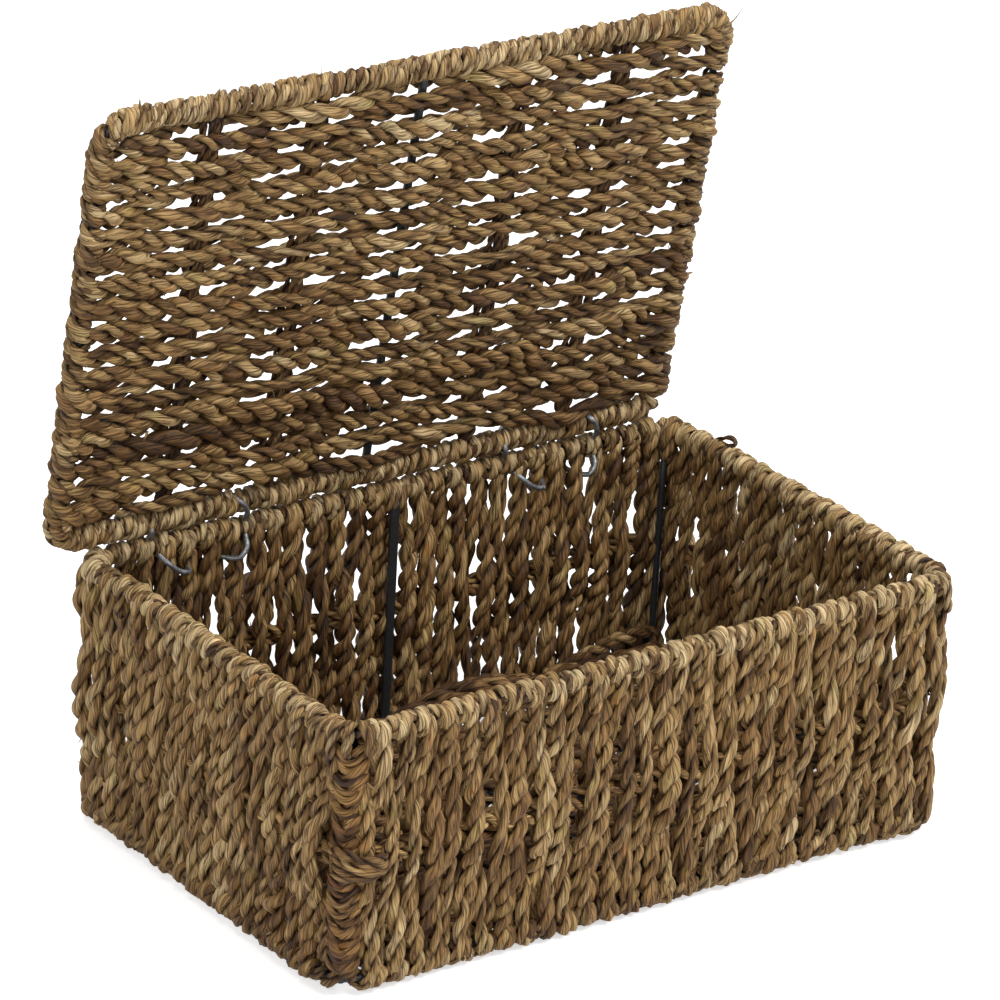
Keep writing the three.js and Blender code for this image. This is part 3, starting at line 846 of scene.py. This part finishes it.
def make_floor():
    low, high = node_box("floor_weave")
    level = node_middle("floor_weave")[2]
    places = np.linspace(low[1] + 1.5, high[1] - 1, FLOOR_ROWS)

    def floor_place(across, along, depth):
        """Places of the floor's weave, which is humped along the back wall"""
        lift = np.zeros(len(along))
        near_back = np.clip((across - (high[1] - 22)) / 18, 0, 1)
        for centre, half, rise in ((52, 44, 11), (150, 62, 13)):
            lift += rise * np.clip(1 - ((along - centre) / half) ** 2, 0, 1) * near_back
        points = side_by_side(along, across, level + depth + lift)
        return points, np.broadcast_to(UP, points.shape), np.broadcast_to(RIGHT, points.shape)

    sheet = Sheet(low[0] + 4, high[0] - 4, 3, floor_place, (2.5, 2.5), FLOOR_DEPTH, 1.0)
    rows, _ = shared_rows(places, np.zeros(FLOOR_ROWS), 2)
    strands = [Strands(), Strands()]
    # The floor's ropes get a low tone, 0.10: painted shade, for the floor lies in shade inside the box
    weave(strands, np.random.default_rng(41), sheet, rows, LID_TURN, 0.10, turns=0.5, size=1.04, sides=8,
          step=2.0, lowest=2.6)
    for letter, part in zip("ab", strands):
        part.piece("floor_ropes_" + letter, ROPE, "basket", ["floor_weave"])


# Lid: the same weave in the lid's leaning plane

lid_low, lid_high = node_box("lid_wire")
hinge_position = next(j for j in frame["joints"] if j["name"] == "lid_hinge")["pos_m"]
HINGE = np.array(hinge_position) / MM
LID_WIRE = wire_radius("rim_wire")
lid_across, lid_run, lid_rise = lid_high - lid_low - 2 * LID_WIRE
LID_HALF = lid_across / 2
LID_LENGTH = math.hypot(lid_rise, lid_run)
LID_LEAN = math.atan2(lid_run, lid_rise)
LID_UP = np.array([0.0, -math.sin(LID_LEAN), math.cos(LID_LEAN)])
LID_FACE = np.array([0.0, -math.cos(LID_LEAN), -math.sin(LID_LEAN)])
# Where the closed lid rests on the left rim, and where the hinge rings stand, from the lid's middle
LID_REST = rim.middle[0] - rim.half[0] - HINGE[0]
RING_PLACES = [node_middle(f"hinge_ring_{i + 1}")[0] + RING_STANDS[i][2] - HINGE[0] for i in range(4)]


def lid_point(x, up, depth=0.0):
    """Points of the lid: x from its middle, distance from the hinge bar, and depth towards the box"""
    x, up, depth = (np.asarray(v, float)[..., None] for v in (x, up, depth))
    return HINGE + x * RIGHT + up * LID_UP + depth * LID_FACE


def lid_place(across, along, depth):
    """Places of the lid's weave. It is flat over the left rim, and its first rows give way to the rings."""
    near_hinge = np.clip((18 - across) / 9, 0, 1)
    for place in RING_PLACES:
        across = across + 1.8 * near_hinge * hump(along, place, 12, 4)
    pressed = hump(along, LID_REST, 9)
    points = lid_point(along, across, depth - pressed * np.clip(depth - 1, 0, None))
    return points, np.broadcast_to(LID_FACE, points.shape), np.broadcast_to(RIGHT, points.shape)


lid_ring = Ring(np.array([0.0, LID_LENGTH / 2]), np.array([LID_HALF, LID_LENGTH / 2]), LID_CORNER_RADIUS)


def wind_lid(strands, rng, start, end, pitch, reach, turn, tone, limits=None, **shape):
    """A strand wound round the lid's wire. Limits share it out by its distance from the hinge."""
    along, away, angle = coil(rng, start, end, pitch, reach, LID_COIL)
    flat, normal = lid_ring.at(along)
    normal = normal[:, :1] * RIGHT + normal[:, 1:] * LID_UP
    radial = np.cos(angle)[:, None] * normal + np.sin(angle)[:, None] * LID_FACE
    points = lid_point(flat[:, 0], flat[:, 1]) + away[:, None] * radial
    lay_rope(strands, rng, points, radial, WINDING_STEP, turn, tone, flat[:, 1], limits, **shape)


def make_lid_weave():
    """The lid's rows, shared out to four pieces, and a strand wound round each of its side edges"""
    radius = LID_BINDING - LOOP_HALF_THICKNESS
    sheet = Sheet(-LID_HALF, LID_HALF, 5, lid_place, (radius, radius), LID_DEPTH, 1.0)
    places = np.linspace(8.8, LID_LENGTH - 8.6, LID_ROWS)
    rng = np.random.default_rng(53)
    letters = "abcd"
    # Painted shade: the rows darken towards the hinge, where the lid lies in more shade, and lighten towards
    # its top
    rows, limits = shared_rows(places, np.linspace(-0.11, 0.11, LID_ROWS), len(letters))
    strands = [Strands() for _ in letters]
    weave(strands, rng, sheet, rows, LID_TURN, 0.45, wobble=0.75, edge_tones=(0.09, 0.09), size=1.07)
    for side in (3, 7):
        wind_lid(strands, rng, lid_ring.stops[side] + 2, lid_ring.stops[side + 1] - 2, 6.0, 3.9, 12, 0.5,
                 limits, flat=0.75, size=0.62, sides=10, lumps=0.16)
    for letter, part in zip(letters, strands):
        part.piece("lid_ropes_" + letter, ROPE, "lid", ["lid_weave", "lid_roll_left", "lid_roll_right"])


def make_lid_bindings():
    """Rope wound round the lid's hinge edge and front edge, with a thinner strand among it"""
    stops = lid_ring.stops
    corner = lid_ring.stretches[2]
    for name, start, end, seed in (
        ("hinge", stops[1] - corner / 2 + 1, stops[2] + corner + 3, 61),
        ("front", stops[5] - corner - 3, stops[6] + corner + 3, 67),
    ):
        rng = np.random.default_rng(seed)
        strands = Strands()
        wind_lid(strands, rng, start, end, 5.9, LID_BINDING - LOOP_HALF_THICKNESS, BINDING_TURN, 0.82,
                 flat=LOOP_FLATNESS * 1.04, narrow=0.88, lumps=0.15, tone_spread=0.26)
        wind_lid(strands, rng, start, end, 5.3, 4.1, 12, 0.78,
                 flat=0.75, size=0.58, sides=10, lumps=0.18, tone_spread=0.26)
        if name == "hinge":
            wind_lid(strands, rng, lid_ring.length - corner / 2 - 3, lid_ring.length, 4.6, 3.8, 14, 0.56,
                     flat=0.7, size=0.85, sides=10)
        strands.piece(f"lid_{name}_edge_winding", BINDING, "lid", ["lid_binding_" + name])


def make_lid_rods():
    """The lid's wire, its bare middle rod, and four stakes with strands laid along them"""
    flat = lid_ring.outline()
    steel_piece("lid_wire", lid_point(flat[:, 0], flat[:, 1]), LID_WIRE, LID_FACE, 10, "lid")
    rod = "lid_middle_rod"
    across = node_middle(rod)[0] - HINGE[0]
    steel_piece(rod, lid_point(across, np.linspace(2, LID_LENGTH - 2, 8)), 1.9, LID_FACE, 10, "lid")
    for number in range(1, 5):
        name = f"lid_stake_{number}"
        across = node_middle(name)[0] - HINGE[0]
        points = lid_point(across, np.linspace(4, LID_LENGTH - 2, 8))
        steel_piece(name, points, wire_radius(name, 0), LID_FACE, 10, "lid")
        rng = np.random.default_rng(70 + number)
        strands = Strands()
        up = np.linspace(4, LID_LENGTH - 3, 24)
        for apart in (-3.6, -1.2, 1.3, 3.7):
            aside = across + (apart + rng.normal(0, 0.6, len(up))) * np.clip(up / 14, 0.35, 1)
            front = rng.normal(0, 0.4, len(up)) + (1.9 if abs(apart) < 2 else 0)
            points = lid_point(aside, up, front)
            # The stakes' strands get a darker tone than the rails': painted shade along the stakes
            lay_rope(strands, rng, points, LID_FACE, 1.5, 13, 0.47, flat=0.8, size=0.54, sides=8)
        strands.piece(name + "_winding", WRAP, "lid", girth=7)


def make_hinge_rings():
    """Four loose wire rings, bent round the rim's and the lid's bars and pressed under the winding"""
    for number, (along, lean, shift, nearest) in enumerate(RING_STANDS, 1):
        name = f"hinge_ring_{number}"
        middle = node_middle(name)
        wire = wire_radius(name, 0)
        half_tall = wire_radius(name) - wire + RING_SAG
        middle[2] -= RING_SAG * 0.8
        angle = np.linspace(0.03, -1.03, 52) * TURN
        crest = HINGE[2] + RING_CREST - middle[2]
        rise = np.where(np.sin(angle) > 0, crest, half_tall) * np.sin(angle)
        apart = np.linspace(-1.1, 1.1, len(angle)) * wire
        front = np.clip(2.1 * np.cos(angle - math.radians(nearest)), -1, 1)
        height = middle[2] + rise
        pressed = 1 - 0.75 * hump(height, RIM_Z + 0.6, 6.3, 4)
        pressed = pressed * (1 - 0.25 * np.clip((height - RIM_Z - 5) / 3, 0, 1))
        pressed = pressed * (1 - 0.6 * np.clip((height - HINGE[2] - 2.5) / 3, 0, 1))
        across = middle[0] + shift + along * np.cos(angle) + apart - lean * rise
        points = side_by_side(across, middle[1] - RING_FRONT * front * pressed, height)
        steel_piece(name, points, wire * 1.25, RIGHT, 7, "hinge_rings", RING, step=1.0, sides=14)


def add_blade(strands, rng, start, direction, length, width, curl):
    """One loose leaf end that springs out of the weave"""
    direction = unit(direction)
    droop = unit(np.cross(direction, unit(rng.normal(size=3))))
    share = np.linspace(0, 1, 6)
    points = start + np.outer(share * length, direction) + np.outer(curl * share ** 2 * length, droop)
    rows, distance = spline(points, 1.0)
    sides = 8
    rings = tube(rows, 1.0, np.broadcast_to(droop, rows.shape), sides=sides, squash=(0.22, width))
    fade = np.clip(1.15 - distance / distance[-1], 0.15, 1)[:, None, None]
    rings = rows[:, None] + (rings - rows[:, None]) * fade
    side = np.arange(sides)
    fibre = side_by_side(np.cos(side), np.sin(side), distance[:, None] + rng.uniform(0, 900))
    strands.add(rings, fibre, 0.45 + rng.normal(0, 0.12), distance)


def scatter_blade(strands, rng, start, direction):
    """A loose end of any length and width, half of them as thin as a fibre"""
    thin = rng.random() < 0.5
    length = rng.uniform(4, 9)
    width = 0.14 if thin else rng.uniform(0.5, 0.9)
    add_blade(strands, rng, start, direction, length, width, rng.normal(0, 0.35))


def make_box_loose_ends(rng):
    """Leaf ends on the walls, and the small loop that stands out of the right rim"""
    strands = Strands()
    for _ in range(90):
        across = rng.uniform(COLUMN_OPENING, rim.length - COLUMN_OPENING, 1)
        height = rng.uniform(14, RIM_Z + 3, 1)
        side = 1 if rng.random() < 0.75 else -1
        point, facing, _ = wall_place(across, height, np.array([3.0 * side]))
        sideways = np.cross(facing[0], UP) * rng.normal(0, 1.0)
        direction = facing[0] * 0.5 * side + sideways + UP * rng.normal(0, 1.0)
        scatter_blade(strands, rng, point[0], direction)
    stray = rim.length / 2 - 37 + np.array([8.0, 3.5, -2.0, -5.0, -4.0, 0.5, 3.0])
    height = RIM_Z + np.array([4.4, 6.6, 8.6, 7.6, 5.4, 4.6, 4.0])
    points, facing, _ = wall_place(stray, height, np.array([0.5, 1.5, 2.5, 3.0, 3.0, 2.0, 1.0]))
    lay_rope(strands, rng, points, facing[0], 0.8, 14, 0.85, size=0.42, sides=8)
    strands.piece("box_loose_ends", ROPE, "basket", girth=4)


# Leaf ends at the lid's edges: place across and up, direction across and up, length and width
EDGE_ENDS = (
    (LID_HALF + 3, LID_LENGTH - 5, 0.8, 0.5, 11, 1.1),
    (LID_HALF + 3, 140, 1.0, 0.1, 5.5, 1.4),
    (LID_HALF + 3, 68, 1.0, 0.3, 6.5, 1.2),
    (LID_HALF + 3, 112, 1.0, -0.3, 5, 1.0),
    (16 - LID_HALF, LID_LENGTH + 4, -0.3, 1.0, 6, 1.0),
    (52 - LID_HALF, LID_LENGTH + 4, 0.3, 1.0, 5, 1.2),
    (-4 - LID_HALF, 120, -1.0, 0.4, 5, 1.0),
)


def make_lid_loose_ends(rng):
    """Leaf ends on both faces of the lid and at its edges"""
    strands = Strands()
    for _ in range(80):
        front = rng.random() < 0.6
        x = rng.uniform(LID_REST + 16 if front else -LID_HALF, LID_HALF)
        up = rng.uniform(22, LID_LENGTH - 22) if front else rng.uniform(14, LID_LENGTH + 3)
        side = 1 if front else -1
        direction = LID_FACE * 0.5 * side + RIGHT * rng.normal(0, 1) + LID_UP * rng.normal(0, 1)
        scatter_blade(strands, rng, lid_point(x, up, 3.0 * side), direction)
    for x, up, sideways, upward, length, width in EDGE_ENDS:
        direction = sideways * RIGHT + upward * LID_UP
        add_blade(strands, rng, lid_point(x, up, 1.5), direction, length, width, 0.25)
    strands.piece("lid_loose_ends", ROPE, "lid", girth=4)


make_walls()
make_rails()
make_wires()
make_corner_column()
make_rim_hooks()
make_floor()
make_lid_weave()
make_lid_bindings()
make_lid_rods()
make_hinge_rings()
loose = np.random.default_rng(91)
make_box_loose_ends(loose)
make_lid_loose_ends(loose)


# Studio

def seen_directly(tree):
    """1 for rays from the camera, off a gloss or through glass, else 0"""
    rays = tree.nodes.new("ShaderNodeLightPath")
    seen = math_node(tree, "MAXIMUM", rays.outputs["Is Camera Ray"], rays.outputs["Is Glossy Ray"])
    return math_node(tree, "MAXIMUM", seen, rays.outputs["Is Transmission Ray"])


def make_floor_sheet():
    """A wide pale floor that shows white to the camera and keeps the shadow"""
    half = 6.0
    level = -0.0006
    corners = [(-half, -half, level), (half, -half, level), (half, half, level), (-half, half, level)]
    mesh = bpy.data.meshes.new("studio_floor")
    mesh.from_pydata(corners, [], [(0, 1, 2, 3)])
    material, tree, shader = new_material("studio_white")
    feed(tree, shader, {"Base Color": (0.80, 0.80, 0.80), "Roughness": 1.0, "Specular IOR Level": 0.0})
    strength = math_node(tree, "MULTIPLY", seen_directly(tree), 0.62)
    glow = add_node(tree, "ShaderNodeEmission", "Emission", {"Color": WHITE, "Strength": strength})
    both = add_node(tree, "ShaderNodeAddShader", "Shader", {0: shader.outputs["BSDF"], 1: glow})
    feed(tree, find_node(tree, "OUTPUT_MATERIAL"), {"Surface": both})
    mesh.materials.append(material)
    new_object("studio_floor", mesh)


def make_world():
    world = bpy.data.worlds.new("studio")
    scene.world = world
    world.use_nodes = True
    tree = world.node_tree
    background = find_node(tree, "BACKGROUND")
    strength = map_range(tree, seen_directly(tree), 0, 1, 0.25, 1.0)
    feed(tree, background, {"Color": WHITE, "Strength": strength})


def add_lamp(name, place, size, power):
    lamp = bpy.data.lights.new(name, "AREA")
    lamp.shape = "RECTANGLE"
    lamp.size, lamp.size_y = size
    lamp.energy = power
    lamp_object = new_object(name, lamp)
    lamp_object.location = place
    target = Vector((0, 0, 0.12))
    lamp_object.rotation_euler = (target - Vector(place)).to_track_quat("-Z", "Y").to_euler()


def make_camera():
    """The photograph's own view: 37 degrees round to the left, 23 degrees up, a little rolled"""
    turned, raised, rolled = (math.radians(a) for a in (-37.026, 23.266, 3.231))
    rotation = Matrix.Rotation(turned, 4, "Z") @ Matrix.Rotation(TURN / 4 - raised, 4, "X")
    rotation = rotation @ Matrix.Rotation(rolled, 4, "Z")
    from_rim_middle = np.array([-1282.04, -1682.64])
    place = np.append(from_rim_middle + rim.middle, 1061.37) * MM
    camera = bpy.data.cameras.new("camera")
    camera.sensor_width = 36
    camera.lens = 193.66
    camera.clip_end = 50
    camera_object = new_object("camera", camera)
    camera_object.matrix_world = Matrix.Translation(Vector(place)) @ rotation
    scene.camera = camera_object


make_floor_sheet()
make_world()
add_lamp("key", (0.9, -1.3, 2.2), (1.3, 1.3), 49)
add_lamp("fill", (-2.2, -1.2, 1.3), (1.1, 1.1), 22.5)
add_lamp("top", (-0.1, 0.3, 2.4), (1.5, 1.5), 27)
make_camera()
scene.view_settings.view_transform = "Standard"
